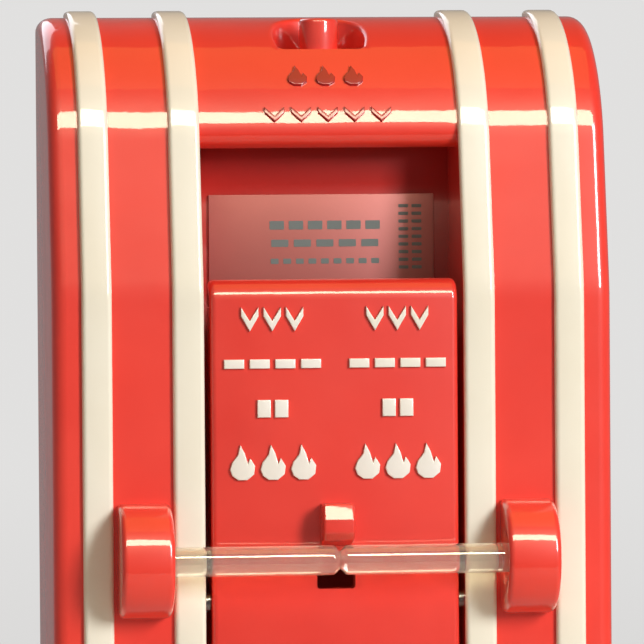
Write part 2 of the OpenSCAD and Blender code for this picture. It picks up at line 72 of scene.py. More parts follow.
def node_mid(name):
    """The middle of a node's box, in millimetres."""
    low, high = node_box(name)
    return (low + high) / 2


shell_high = node_box("front_cover")[1]
strip_low, strip_high = node_box("strip_outer_right")
inner_low, inner_high = node_box("strip_inner_right")
lever_low, lever_high = node_box("pull_lever")
half_w = shell_high.x
half_h = strip_high.z
front_y = strip_low.y
rim_y = strip_high.y
strip_h = half_h - shell_high.z
wall_t = 2.4
corner_r = 2.2
inner_corner_r = 0.6
top_r = 24
bottom_r = 22
bend_r = 20
lean = radians(10.8)
lean_start_z = 16.5
strip_x = inner_low.x
opening_top = 37.5
opening_bottom = -47
pocket_y = node_box("inner_plate")[0].y
cheek_t = 2
rod_r = 2.2
rod_z = node_box("glass_rod_right")[0].z + rod_r
rod_y = node_box("glass_rod_right")[0].y + rod_r
hinge_y = -5.5
hinge_z = node_mid("hinge_pin").z
lever_y = front_y + 0.2
lever_half_w = lever_high.x
print("half width", round(half_w, 2), "half height", round(half_h, 2))
print("rod at", round(rod_y, 2), round(rod_z, 2), "hinge at", round(hinge_z, 2))

# %% [markdown]
# ## Making and handing over objects
#
# Three small functions are used by nearly every piece. One puts an object in the scene. One says
# which body a piece rides on and which of the frame's nodes it stands for.
# One gives the angles of a quarter turn, which is what every rounded edge is drawn with.

# %% Object helpers
def new_object(name, data):
    """An object in the scene, at the origin."""
    item = bpy.data.objects.new(name, data)
    bpy.context.scene.collection.objects.link(item)
    return item


def settle(piece, body, slot, *replaced):
    """Gives a piece its body and hides the nodes that it stands for. The slot is not used."""
    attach(piece, body)
    if replaced:
        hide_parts(*replaced)
    print(piece.name, "faces", len(piece.data.polygons))
    return piece


def quarter(steps):
    """Angles from 0 to a quarter turn."""
    return [pi / 2 * k / steps for k in range(steps + 1)]


# %% [markdown]
# ## Camera
#
# The object is seen from a little over three quarters of a metre, slightly from its left and very
# slightly from above, through a long lens. The camera comes first, because every later choice is
# judged through it.

# %% Camera
CAMERA_AT = Vector((-0.1090, -0.8800, 0.0320))
CAMERA_AIM = Vector((-0.0019, -0.0300, 0.0118))
CAMERA_LENS = 325
CAMERA_ROLL = radians(-0.4)

camera_data = bpy.data.cameras.new("camera")
camera_data.lens = CAMERA_LENS
camera_data.sensor_width = 36
camera_data.clip_start = 0.01
camera = new_object("camera", camera_data)
aim = (CAMERA_AIM - CAMERA_AT).to_track_quat("-Z", "Y").to_matrix().to_4x4()
roll = Matrix.Rotation(CAMERA_ROLL, 4, "Z")
camera.matrix_world = Matrix.Translation(CAMERA_AT) @ aim @ roll
bpy.context.scene.camera = camera
print("camera distance in mm:", round((CAMERA_AIM - CAMERA_AT).length / MM))

# %% [markdown]
# ## Material helpers
#
# Colours are written as the sRGB hex values that a paint chart gives, and one function turns them
# to linear light. One more function adds a node with its settings and its inputs, so that a
# material reads as a list of what feeds what. Every pattern reads Object coordinates, which are
# metres here, so a pattern of one millimetre has a scale of a thousand.

# %% Colour and node helpers
def colour(code):
    """A hex colour such as e8402f as linear red, green, blue and alpha."""
    parts = [int(code[i : i + 2], 16) / 255 for i in (0, 2, 4)]
    return [c / 12.92 if c <= 0.04045 else ((c + 0.055) / 1.055) ** 2.4 for c in parts] + [1]


def add(tree, kind, inputs=None, **settings):
    """Adds a node with its settings, and gives each named input a value or a link."""
    node = tree.nodes.new(kind)
    for key, value in settings.items():
        setattr(node, key, value)
    for key, value in (inputs or {}).items():
        if isinstance(value, bpy.types.NodeSocket):
            tree.links.new(value, node.inputs[key])
        else:
            node.inputs[key].default_value = value
    return node


def per_mm(size):
    """The scale of a pattern whose features are size millimetres wide."""
    return 1 / (size * MM)


def new_material(name, **shader_inputs):
    """A material with its tree, its main shader and its Object coordinates."""
    material = bpy.data.materials.new(name)
    material.use_nodes = True
    tree = material.node_tree
    tree.nodes.clear()
    shader = add(tree, "ShaderNodeBsdfPrincipled")
    for key, value in shader_inputs.items():
        shader.inputs[key.replace("_", " ")].default_value = value
    add(tree, "ShaderNodeOutputMaterial", {"Surface": shader.outputs["BSDF"]})
    place = add(tree, "ShaderNodeTexCoord").outputs["Object"]
    return material, tree, shader, place


def clouded_colour(tree, shader, place, size, detail, first, second, lowest=0.0, highest=1.0):
    """Turns the base colour from one tone to another, in clouds of a size in millimetres."""
    clouds = add(
        tree, "ShaderNodeTexNoise", {"Vector": place, "Scale": per_mm(size), "Detail": detail}
    )
    amount = add(
        tree,
        "ShaderNodeMapRange",
        {"Value": clouds.outputs["Fac"], "From Min": lowest, "From Max": highest},
    )
    tint = add(
        tree,
        "ShaderNodeMix",
        {0: amount.outputs["Result"], 6: colour(first), 7: colour(second)},
        data_type="RGBA",
    )
    tree.links.new(tint.outputs[2], shader.inputs["Base Color"])


# %% [markdown]
# ## Finish: gloss enamel on a zinc casting
#
# Stoved enamel is a thick, smooth paint film. It flows out before it hardens, so it is mirror
# glossy but not flat: a faint orange peel, a couple of millimetres across, bends each reflection.
# The film is a touch thinner and darker in places, and handling leaves a slightly duller haze.
# The cast skin below shows as slow waves a centimetre or so long. The gloss comes from a clear
# coat over a less shiny coloured body, which keeps the red strong between the highlights.

# %% Enamel
def enamel(name, main, thin, body_roughness=0.38, coat_roughness=0.05, peel=1.0):
    """Gloss enamel in a main colour that turns to the thin colour in slow, faint patches."""
    material, tree, shader, place = new_material(
        name, Coat_Weight=0.95, Coat_Roughness=coat_roughness, Coat_IOR=1.5, Specular_IOR_Level=0.25
    )
    clouded_colour(tree, shader, place, 24, 4.0, main, thin, lowest=0.35, highest=0.75)
    haze = add(tree, "ShaderNodeTexNoise", {"Vector": place, "Scale": per_mm(9), "Detail": 5.0})
    rough = add(
        tree,
        "ShaderNodeMapRange",
        {
            "Value": haze.outputs["Fac"],
            "To Min": body_roughness - 0.08,
            "To Max": body_roughness + 0.1,
        },
    )
    tree.links.new(rough.outputs["Result"], shader.inputs["Roughness"])
    waves = add(tree, "ShaderNodeTexNoise", {"Vector": place, "Scale": per_mm(11), "Detail": 1.0})
    skin = add(
        tree,
        "ShaderNodeBump",
        {"Height": waves.outputs["Fac"], "Distance": 0.10 * MM * peel, "Strength": 1.0},
    )
    grain = add(tree, "ShaderNodeTexNoise", {"Vector": place, "Scale": per_mm(1.9), "Detail": 2.0})
    orange_peel = add(
        tree,
        "ShaderNodeBump",
        {
            "Height": grain.outputs["Fac"],
            "Distance": 0.012 * MM * peel,
            "Strength": 1.0,
            "Normal": skin.outputs["Normal"],
        },
    )
    tree.links.new(orange_peel.outputs["Normal"], shader.inputs["Normal"])
    tree.links.new(orange_peel.outputs["Normal"], shader.inputs["Coat Normal"])
    return material


red_enamel = enamel("red_gloss_enamel", "e83c2c", "de3224")
red_lever = enamel("red_gloss_enamel_lever", "e23a2c", "d83024")
# The brow symbols are cast with the cover in its own enamel. Their darker, duller red is painted
# shade, which keeps them from being lost in the brow's highlight.
red_emboss = enamel("raised_enamel_darkened_for_shade", "a41a1c", "961618", coat_roughness=0.2, peel=0.5)
cream_enamel = enamel("cream_gloss_enamel", "ece8d4", "e5dfc8", body_roughness=0.34)
cream_raised = enamel("cream_gloss_enamel_raised", "ece8dc", "e4dfcc", peel=0.4)
print("enamels:", [m.name for m in bpy.data.materials])

# %% [markdown]
# ## Finish: metals, plastics, satin paint and foil
#
# These finishes share one recipe: slow clouds of tone, and a fine grain that shows both in how
# shiny the surface is and in its relief. Plated sheet has rolling lines, and turned pins have
# finer ones, so their grain is drawn out along X. A metal's colour sits in its reflection and its
# IOR stays at its default. Phenolic has the sparked grain of its mould, acetal is smooth, and the
# plate behind the lever has a satin paint, made a darker red as painted shade of the pocket. The
# label is a printed foil, darkened and reddened as painted shade under the brow and painted red
# reflection from the pocket's walls.

# %% One recipe for a clouded, grained finish
def patterned(name, tones, cloud, grain, roughness, swing, depth, stretch=1, **shader_inputs):
    """A finish with clouds of tone and a grain.

    The clouds and the grain are each a size in millimetres and a level of detail. The grain is
    drawn out along X by stretch. The swing is how far it moves the roughness down and up, and
    depth is its relief in millimetres.
    """
    material, tree, shader, place = new_material(name, **shader_inputs)
    clouded_colour(tree, shader, place, *cloud, *tones)
    drawn = add(tree, "ShaderNodeMapping", {"Vector": place, "Scale": (1 / stretch, 1, 1)})
    marks = add(
        tree,
        "ShaderNodeTexNoise",
        {"Vector": drawn.outputs["Vector"], "Scale": per_mm(grain[0]), "Detail": grain[1]},
    )
    height = marks.outputs["Fac"]
    rough = add(
        tree,
        "ShaderNodeMapRange",
        {"Value": height, "To Min": roughness - swing[0], "To Max": roughness + swing[1]},
    )
    tree.links.new(rough.outputs["Result"], shader.inputs["Roughness"])
    bump = add(tree, "ShaderNodeBump", {"Height": height, "Distance": depth * MM, "Strength": 1.0})
    tree.links.new(bump.outputs["Normal"], shader.inputs["Normal"])
    return material


def metal(name, tone, dark, roughness, line_mm):
    """A metal with lines across X of a real spacing."""
    cloud, lines, swing = (7, 6.0), (line_mm, 3.0), (0.08, 0.12)
    return patterned(
        name, (dark, tone), cloud, lines, roughness, swing, 0.004, stretch=14, Metallic=1.0
    )


def grained(name, tone, light, roughness, grain_mm, depth, **shader_inputs):
    """A moulded, painted or printed finish with a fine, even grain."""
    cloud, grain, swing = (12, 4.0), (grain_mm, 2.0), (0.06, 0.06)
    return patterned(name, (tone, light), cloud, grain, roughness, swing, depth, **shader_inputs)


# %% Metals, plastics, paint and foil
zinc_steel = metal("zinc_plated_steel", "c9cdd0", "9fa4a8", 0.34, 0.8)
bright_steel = metal("turned_steel", "d2d4d6", "b0b3b6", 0.24, 0.4)
spring_steel = metal("blued_spring_steel", "8f9296", "6c6f74", 0.3, 0.5)
brass_parts = metal("pressed_brass", "d9b25c", "b48a3a", 0.28, 0.6)
# The plate's satin red is made darker as painted shade of the pocket behind the lever.
red_plate = grained("satin_red_darkened_for_shade", "a8201a", "b4281f", 0.4, 1.2, 0.02, Specular_IOR_Level=0.3)
# The label's dark, red tone is painted shade under the brow and painted red reflection from the
# pocket's walls, not the foil's own colour.
label_foil = grained("foil_printed_shade_reddened", "a0544e", "944a44", 0.45, 0.5, 0.004, IOR=1.5, Metallic=0.25)
label_ink = grained("grey_green_ink", "55605c", "66706b", 0.5, 0.5, 0.002, IOR=1.5)
switch_black = grained("black_phenolic", "17171a", "222226", 0.42, 0.5, 0.02, IOR=1.6)
switch_grey = grained("grey_phenolic", "35353a", "424248", 0.45, 0.5, 0.02, IOR=1.6)
plunger_white = grained("white_acetal", "e2ddd0", "ece8dd", 0.3, 0.9, 0.006, IOR=1.48)
ground_green = grained("green_dyed_zinc", "2f7d42", "3c9150", 0.3, 0.7, 0.004, Metallic=0.6)
floor_paper = grained("pale_floor_paper", "dcd9d4", "d4d1cb", 0.7, 2.0, 0.02)

# %% [markdown]
# ## Finish: drawn glass
#
# The rod is drawn from soda glass. It is clear with a warm tinge, but a tenth of it is left
# unclear in pale cream: that is painted light, standing in for the pale light the rod gathers by
# refraction from round it. It keeps long, shallow lines from drawing, which stretch whatever is
# seen through it along its length.

# %% Glass
def drawn_glass():
    """Soda glass with shallow draw lines along X; its tenth of pale cream is painted light."""
    material, tree, shader, place = new_material(
        "drawn_soda_glass", Transmission_Weight=0.9, IOR=1.5, Roughness=0.03, Coat_Weight=1.0
    )
    shader.inputs["Base Color"].default_value = colour("faf6e8")
    drawn = add(tree, "ShaderNodeMapping", {"Vector": place, "Scale": (0.03, 1, 1)})
    lines = add(
        tree,
        "ShaderNodeTexNoise",
        {"Vector": drawn.outputs["Vector"], "Scale": per_mm(0.9), "Detail": 1.0},
    )
    bump = add(
        tree,
        "ShaderNodeBump",
        {"Height": lines.outputs["Fac"], "Distance": 0.012 * MM, "Strength": 1.0},
    )
    tree.links.new(bump.outputs["Normal"], shader.inputs["Normal"])
    return material


rod_glass = drawn_glass()
print("materials in all:", len(bpy.data.materials))

# %% [markdown]
# ## Mesh helpers
#
# Most pieces are one of three shapes: an outline that runs straight along an axis and has rounded
# end edges, a profile turned about an axis, or a grid of points that follows a rule. Each helper
# returns a finished object at the origin, with its place in its mesh, which is how the frame's
# own nodes are kept.

# %% Finish a mesh and make a piece
def finish_mesh(piece, sharp=32):
    """Merges doubles, turns the faces outwards and marks as sharp the edges over an angle."""
    work = bmesh.new()
    work.from_mesh(piece.data)
    bmesh.ops.remove_doubles(work, verts=work.verts, dist=0.0005 * MM)
    bmesh.ops.recalc_face_normals(work, faces=work.faces)
    for face in work.faces:
        face.smooth = True
    for edge in work.edges:
        edge.smooth = len(edge.link_faces) == 2 and edge.calc_face_angle(0) < radians(sharp)
    work.to_mesh(piece.data)
    work.free()
    return piece


def new_piece(name, points, faces, material, sharp=32):
    """A piece from points in millimetres."""
    mesh = bpy.data.meshes.new(name)
    mesh.from_pydata([[v * MM for v in p] for p in points], [], faces)
    mesh.materials.append(material)
    return finish_mesh(new_object(name, mesh), sharp)


def bake_modifiers(piece, sharp=32):
    """Replaces a piece's mesh by what its modifiers make of it, and removes them."""
    graph = bpy.context.evaluated_depsgraph_get()
    mesh = bpy.data.meshes.new_from_object(piece.evaluated_get(graph))
    piece.modifiers.clear()
    piece.data = mesh
    return finish_mesh(piece, sharp)


def cut(piece, *cutters, sharp=32):
    """Takes the cutters out of a piece."""
    for cutter in cutters:
        step = piece.modifiers.new("cut", "BOOLEAN")
        step.operation = "DIFFERENCE"
        step.solver = "EXACT"
        step.object = cutter
    bake_modifiers(piece, sharp)
    for cutter in cutters:
        bpy.data.objects.remove(cutter)
    return piece


def from_work(name, work, material):
    """An object made from a working mesh, which is used up."""
    mesh = bpy.data.meshes.new(name)
    work.to_mesh(mesh)
    work.free()
    mesh.materials.append(material)
    return new_object(name, mesh)


def joined(name, parts):
    """Joins several objects into one, as separate closed shells."""
    work = bmesh.new()
    for part in parts:
        work.from_mesh(part.data)
    piece = from_work(name, work, parts[0].data.materials[0])
    for part in parts:
        bpy.data.objects.remove(part)
    return piece


# %% Outlines, lofts and turned shapes
def outline(corners, steps=6):
    """A closed outline from corners (u, v, radius), with an arc where the radius isn't zero."""
    points = []
    for i, (u, v, radius) in enumerate(corners):
        here = Vector((u, v))
        back = (Vector(corners[i - 1][:2]) - here).normalized()
        onward = (Vector(corners[(i + 1) % len(corners)][:2]) - here).normalized()
        if radius == 0:
            points.append(here)
            continue
        half = back.angle(onward) / 2
        centre = here + (back + onward).normalized() * radius / sin(half)
        start = here + back * radius / tan(half) - centre
        end = here + onward * radius / tan(half) - centre
        sweep = start.angle_signed(end)
        for k in range(steps + 1):
            turn = Matrix.Rotation(-sweep * k / steps, 2)
            points.append(centre + turn @ start)
    return points


def inset(loop, depth):
    """A closed outline moved inwards by a depth."""
    area = sum(a.x * b.y - b.x * a.y for a, b in zip(loop, loop[1:] + loop[:1]))
    side = 1 if area > 0 else -1
    moved = []
    for i, here in enumerate(loop):
        before = here - loop[i - 1]
        after = loop[(i + 1) % len(loop)] - here
        one = Vector((-before.y, before.x)).normalized() * side
        two = Vector((-after.y, after.x)).normalized() * side
        moved.append(here + (one + two) * depth / (1 + one.dot(two)))
    return moved


AXES = {"X": (2, 0, 1), "Y": (0, 2, 1), "Z": (0, 1, 2)}


def place_on(axis, u, v, w):
    """The point with u and v across an axis and w along it."""
    return [(u, v, w)[k] for k in AXES[axis]]


def ring_faces(count, rings):
    """The faces between rings of a count of points that follow one another."""
    faces = []
    for k in range(rings - 1):
        for i in range(count):
            j = (i + 1) % count
            faces.append([k * count + i, k * count + j, (k + 1) * count + j, (k + 1) * count + i])
    return faces


def loft(name, loop, low, high, edge, axis, material, steps=4, sharp=32):
    """Runs a closed outline along an axis from low to high, with rounded end edges."""
    turns = quarter(steps)
    rows = [(low + edge * (1 - cos(a)), edge * (1 - sin(a))) for a in turns]
    rows += [(high - edge * (1 - cos(a)), edge * (1 - sin(a))) for a in reversed(turns)]
    points = []
    for w, depth in rows:
        points += [place_on(axis, p.x, p.y, w) for p in inset(loop, depth)]
    count = len(loop)
    ends = [list(range(count)), list(range(len(points) - count, len(points)))]
    return new_piece(name, points, ends + ring_faces(count, len(rows)), material, sharp)


def turned(name, profile, u, v, axis, material, sides=64, sharp=32):
    """Turns a profile of (radius, place along the axis) about the axis through u and v."""
    points = []
    for radius, w in profile:
        for k in range(sides):
            a = 2 * pi * k / sides
            points.append(place_on(axis, u + radius * cos(a), v + radius * sin(a), w))
    faces = ring_faces(sides, len(profile))
    for r in (0, len(profile) - 1):
        if profile[r][0] > 0:
            faces.append([r * sides + k for k in range(sides)])
    return new_piece(name, points, faces, material, sharp)


def round_rect(u0, u1, v0, v1, radius):
    """A rectangle with round corners."""
    return outline([(u0, v0, radius), (u1, v0, radius), (u1, v1, radius), (u0, v1, radius)])


print("helpers ready")

# %% [markdown]
# ## The cover's side outline
#
# Seen from the side, the casting's front is a chain of three arcs with straight lines between
# them: a big arc over the top, a soft bend where the upper front starts to lean back, and a big
# arc under the bottom. Each arc keeps its centre when the line moves inwards, so the outer skin,
# the inner skin and the cream strips all come from one function with a different depth.

# %% Side outline
top_cz = half_h - top_r
lean_end_z = top_cz + top_r * sin(lean)
top_cy = front_y + (lean_end_z - lean_start_z) * tan(lean) + top_r * cos(lean)
bend_cy = front_y + bend_r
bend_cz = lean_start_z - bend_r * tan(lean / 2)
bottom_cy = front_y + bottom_r
bottom_cz = bottom_r - half_h


def arc_points(cy, cz, radius, start, end, steps):
    """Points on an arc. An angle of 0 faces the front and 90 degrees faces up."""
    turns = [start + (end - start) * k / steps for k in range(steps + 1)]
    return [(cy - radius * cos(a), cz + radius * sin(a)) for a in turns]


def between(a, b, steps):
    """Points strictly between two points."""
    return [[a[i] + (b[i] - a[i]) * k / steps for i in (0, 1)] for k in range(1, steps)]


def side_line(depth, brow_angle, sill_angle, back=None):
    """The side outline at a depth, from the upper rim to the lower one, with its two stops.

    The stops are the places in the list where the brow ends and where the sill starts.
    """
    back = rim_y if back is None else back
    over = arc_points(top_cy, top_cz, top_r - depth, pi / 2, brow_angle, 36)
    under_brow = arc_points(top_cy, top_cz, top_r - depth, brow_angle, lean, 6)
    bend = arc_points(bend_cy, bend_cz, bend_r - depth, lean, 0, 6)
    to_sill = arc_points(bottom_cy, bottom_cz, bottom_r - depth, 0, sill_angle, 16)
    under = arc_points(bottom_cy, bottom_cz, bottom_r - depth, sill_angle, -pi / 2, 24)
    line = [(back, half_h - depth)] + over + under_brow[1:]
    line += between(under_brow[-1], bend[0], 5) + bend + between(bend[-1], to_sill[0], 8) + to_sill
    line += under[1:] + [(back, depth - half_h)]
    return [Vector(p) for p in line], len(over), line.index(to_sill[-1])


print("arc centres over and under:", [round(v, 2) for v in (top_cy, top_cz, bottom_cy, bottom_cz)])

# %% [markdown]
# ## The cover: one closed cast shell
#
# The cover is a shell a little over two millimetres thick, open at the back, with a deep opening
# for the lever. A boolean of plain solids would leave knife edges that no enamelled casting has.
# So the shell is laid out as a grid: stations along the side outline, and columns across the
# width. The upright corners are made by moving the outline inwards as a column nears the side,
# the brow ends in a rolled lip, and the inner skin is the same grid at another depth.

# %% Columns across the cover
lip_r = 2.6
sill_r = 1.2
skin = strip_h
lining = strip_h + wall_t
patch_half = 10.5
patch_steps = 20
corner_steps = 8


def stop_angle(depth, centre_z, radius, level, lip):
    """The angle on an arc where a lip of a radius that ends at a level leaves it."""
    return asin((level + lip - centre_z) / (radius - depth - abs(lip)))


def columns(opening_half, inner):
    """Columns as (x, extra depth) across the whole cover. Inner ones follow the inner corner."""
    base = wall_t if inner else 0
    radius = inner_corner_r if inner else corner_r
    flat_end = half_w - base - radius
    scale = opening_half / strip_x
    half = [(patch_half * scale * 2 * k / patch_steps, base) for k in range(patch_steps // 2 + 1)]
    patch = patch_half * scale
    half += [(patch + (opening_half - patch) * k / 5, base) for k in range(1, 6)]
    half += [(opening_half + (flat_end - opening_half) * k / 6, base) for k in range(1, 7)]
    for k in range(1, corner_steps + 1):
        b = pi / 2 * k / corner_steps
        half.append((flat_end + radius * sin(b), base + radius * (1 - cos(b))))
    return [(-x, d) for x, d in reversed(half[1:])] + half


outer_columns = columns(strip_x, False)
inner_columns = columns(strip_x + cheek_t, True)
middle = len(outer_columns) // 2
open_span = 15
patch_span = patch_steps // 2
print("columns:", len(outer_columns), "edges of the opening:", outer_columns[middle + open_span][0])

# %% Skins, with the opening left out
points = []
faces = []


def add_grid(rows, keep=None):
    """Adds a grid of points, with the faces that keep allows."""
    start = len(points)
    wide = len(rows[0])
    for row in rows:
        points.extend([list(p) for p in row])
    for r in range(len(rows) - 1):
        for c in range(wide - 1):
            if keep is None or keep(r, c):
                a = start + r * wide + c
                faces.append([a, a + 1, a + wide + 1, a + wide])


def add_face(corners):
    """Adds one flat face from its corners in order."""
    start = len(points)
    points.extend([list(p) for p in corners])
    faces.append(list(range(start, start + len(corners))))


def skin_rows(cols, brow_angle, sill_angle):
    """Points of a skin by station and column, and its stops."""
    lines = {d: side_line(skin + d, brow_angle, sill_angle) for _, d in cols}
    brow, sill = lines[cols[middle][1]][1:]
    count = len(lines[cols[middle][1]][0])
    rows = [[(x, *lines[d][0][r]) for x, d in cols] for r in range(count)]
    return rows, brow, sill


def outside_opening(brow, sill, patch_end):
    """Says which faces of a skin stay: none in the opening or under the screw pocket."""

    def keep(r, c):
        inside = middle - open_span <= c < middle + open_span
        if inside and brow <= r < sill:
            return False
        pocket = middle - patch_span <= c < middle + patch_span
        return not (pocket and 1 <= r < patch_end)

    return keep


outer_brow = stop_angle(skin, top_cz, top_r, opening_top, lip_r)
outer_sill = stop_angle(skin, bottom_cz, bottom_r, opening_bottom, -sill_r)
inner_brow = stop_angle(lining, top_cz, top_r, opening_top + cheek_t, 0)
inner_sill = stop_angle(lining, bottom_cz, bottom_r, opening_bottom - cheek_t, 0)
patch_end = 1 + round(36 * (pi / 2 - radians(38)) / (pi / 2 - outer_brow))

outer_rows, brow_stop, sill_stop = skin_rows(outer_columns, outer_brow, outer_sill)
inner_rows, _, _ = skin_rows(inner_columns, inner_brow, inner_sill)
add_grid(outer_rows, outside_opening(brow_stop, sill_stop, patch_end))
add_grid(inner_rows, outside_opening(brow_stop, sill_stop, patch_end))
for end in (0, -1):
    add_grid([outer_rows[end], inner_rows[end]])
for side in (0, -1):
    add_face([row[side] for row in outer_rows])
    add_face([row[side] for row in inner_rows])
    add_grid([[rows[0][side], rows[-1][side]] for rows in (outer_rows, inner_rows)])
print("stations:", len(outer_rows), "stops:", brow_stop, sill_stop, "points:", len(points))

# %% [markdown]
# ### The opening
#
# Under the brow the skin rolls round a lip and runs straight back to the plate behind the lever.
# The sill does the same at the bottom, with a smaller lip, and the two cheeks are flat.

# %% Brow lip, sill and cheeks
def lip_line(level, radius, arc_y, arc_z, arc_r, stop):
    """The rolled lip from the skin to a level, and on to the back of the opening."""
    centre_y = arc_y - (arc_r - abs(radius)) * cos(stop)
    centre_z = arc_z + (arc_r - abs(radius)) * sin(stop)
    down = -pi / 2 if radius > 0 else pi / 2
    turns = [stop + (down - stop) * k / 8 for k in range(9)]
    line = [(centre_y - abs(radius) * cos(a), centre_z + abs(radius) * sin(a)) for a in turns]
    return line + [(pocket_y, level)]


opening_columns = [x for x, _ in outer_columns[middle - open_span : middle + open_span + 1]]
lining_columns = [x for x, _ in inner_columns[middle - open_span : middle + open_span + 1]]
brow_line = lip_line(opening_top, lip_r, top_cy, top_cz, top_r - skin, outer_brow)
sill_line = lip_line(opening_bottom, -sill_r, bottom_cy, bottom_cz, bottom_r - skin, outer_sill)
for line, stop, lining_z in (
    (brow_line, brow_stop, opening_top + cheek_t),
    (sill_line, sill_stop, opening_bottom - cheek_t),
):
    add_grid([[(x, y, z) for x in opening_columns] for y, z in line])
    lining_y = inner_rows[stop][middle][1]
    add_grid([[(x, y, lining_z) for x in lining_columns] for y in (lining_y, pocket_y)])
    add_grid(
        [
            [(x, *line[-1]) for x in opening_columns],
            [(x, pocket_y, lining_z) for x in lining_columns],
        ]
    )
for side in (-1, 1):
    edge = [row[middle + side * open_span] for row in outer_rows[brow_stop : sill_stop + 1]]
    lip_below = [(side * strip_x, y, z) for y, z in sill_line[1:]]
    lip_above = [(side * strip_x, y, z) for y, z in reversed(brow_line[1:])]
    add_face(edge + lip_below + lip_above)
    back_edge = [row[middle + side * open_span] for row in inner_rows[brow_stop : sill_stop + 1]]
    near, far = side * strip_x, side * (strip_x + cheek_t)
    corners = [(far, pocket_y, opening_bottom - cheek_t), (far, pocket_y, opening_top + cheek_t)]
    add_face(back_edge + corners)
    add_face(corners + [(near, pocket_y, opening_top), (near, pocket_y, opening_bottom)])
print("faces so far:", len(faces))

# %% [markdown]
# ### The screw pocket
#
# The cover's screw sits in a round pocket in the top edge, and the pocket breaks out through the
# front of the curve, which gives the scallop in the top edge. The skin here is a rule in plan:
# out from the screw's axis come the skin, a small rolled edge, the pocket's wall and its floor.
# The same rule at other sizes makes the boss on the inside. Each ray runs from one point on the
# edge of the grid, so the patch joins the grid without a seam.

# %% Screw pocket and its boss
screw_low, screw_high = node_box("cover_screw")
screw_y = node_mid("cover_screw").y
pocket_floor = half_h - 6.2
boss_foot = node_box("screw_retainer")[1].z + 0.1
hole_r = 2.2


def round_patch(rows, radius, level, arc_r, edge):
    """The rings of a round pocket or boss, from the edge of the grid in to the screw's hole."""
    first, last = middle - patch_span, middle + patch_span
    rim = [rows[1][c] for c in range(first, last + 1)]
    rim += [rows[r][last] for r in range(2, patch_end + 1)]
    rim += [rows[patch_end][c] for c in range(last - 1, first - 1, -1)]
    rim += [rows[r][first] for r in range(patch_end - 1, 0, -1)]
    front = screw_y - top_cy + sqrt(arc_r**2 - (level - top_cz) ** 2)
    rays = []
    for x, y, z in rim[:-1]:
        far = hypot(x, y - screw_y)
        ux, uy = x / far, (y - screw_y) / far
        near = min(radius, front / -uy) if uy < 0 else radius

        def skin_z(r):
            back = min(screw_y + uy * r - top_cy, 0)
            return top_cz + sqrt(arc_r**2 - back**2)

        roll = min(edge, skin_z(near) - level)
        ray = [(x, y, z)]
        for k in range(1, 7):
            r = far + (near + roll - far) * k / 6
            ray.append((ux * r, screw_y + uy * r, skin_z(r)))
        for a in quarter(4)[1:]:
            r = near + roll * (1 - sin(a))
            ray.append((ux * r, screw_y + uy * r, skin_z(near + roll) - roll * (1 - cos(a))))
        ray.append((ux * near, screw_y + uy * near, min(level + 0.3, ray[-1][2])))
        for r in (near - 0.3, (near + hole_r) / 2, hole_r):
            ray.append((ux * r, screw_y + uy * r, level))
        rays.append(ray)
    return rays + rays[:1]


pocket_rays = round_patch(outer_rows, 6.85, pocket_floor, top_r - skin, 0.7)
boss_rays = round_patch(inner_rows, 8.65, boss_foot, top_r - lining, 0.4)
add_grid(pocket_rays)
add_grid(boss_rays)
add_grid([[ray[-1] for ray in pocket_rays], [ray[-1] for ray in boss_rays]])
cover_shell = new_piece("cover_shell", points, faces, red_enamel)
print("cover shell before the notch:", len(points), "points")

# %% [markdown]
# ### Room to swing
#
# The lower rim turns about the hinge pin, so its edge is cut to a round about the pin. The side
# walls need a big round, and between them the rim is cut back as far as the hinge knuckles.

# %% The notch at the hinge
knuckle_r = 3
wall_swing_r = 5.3


def swing_cutter(radius, reach):
    """The room that the lower rim needs to swing about the hinge, as a solid to cut away."""
    room = [(hinge_y - 1.5, -half_h - 2), (4, -half_h - 2), (4, hinge_z)]
    for k in range(17):
        a = -(pi / 2 + asin(1.5 / radius)) * k / 16
        room.append((hinge_y + radius * cos(a), hinge_z + radius * sin(a)))
    return loft("swing_room", [Vector(p) for p in room], -reach, reach, 0, "X", red_enamel)


cutters = [swing_cutter(wall_swing_r, half_w + 2), swing_cutter(knuckle_r, half_w - wall_t)]
cut(cover_shell, *cutters)
settle(cover_shell, "front_cover", "red_enamel", "front_cover")

# %% [markdown]
# ## Cream strips, swept along the outline by Geometry Nodes
#
# Each strip is the same rounded bar bent over the front of the casting. That is one cross-section
# along one path, which is what Curve to Mesh does, so a node tree makes all four. Its inputs are
# the bar's width, thickness and edge radius, and the path is the side outline at the bar's
# middle.

# %% The tree that sweeps a bar
def socket_id(tree, name):
    """The identifier of a tree's input."""
    return next(item.identifier for item in tree.interface.items_tree if item.name == name)


def tree_with(name, inputs):
    """An empty geometry tree with named inputs and one geometry output."""
    tree = bpy.data.node_groups.new(name, "GeometryNodeTree")
    for label, kind in inputs:
        tree.interface.new_socket(label, in_out="INPUT", socket_type=kind)
    tree.interface.new_socket("Geometry", in_out="OUTPUT", socket_type="NodeSocketGeometry")
    source = add(tree, "NodeGroupInput").outputs
    return tree, source


def finish_tree(tree, geometry, material):
    """Ends a tree in Realize Instances and Set Material."""
    real = add(tree, "GeometryNodeRealizeInstances", {"Geometry": geometry})
    real = real.outputs["Geometry"]
    painted = add(tree, "GeometryNodeSetMaterial", {"Geometry": real, "Material": material})
    add(tree, "NodeGroupOutput", {"Geometry": painted.outputs["Geometry"]})
    return tree


def run_tree(name, host, tree, values, sharp=32):
    """Runs a tree on a host object and returns its result as a piece of plain mesh."""
    step = host.modifiers.new("tree", "NODES")
    step.node_group = tree
    for label, value in values.items():
        step[socket_id(tree, label)] = value
    bpy.context.view_layer.update()
    graph = bpy.context.evaluated_depsgraph_get()
    mesh = bpy.data.meshes.new_from_object(host.evaluated_get(graph))
    bpy.data.objects.remove(host)
    return finish_mesh(new_object(name, mesh), sharp)


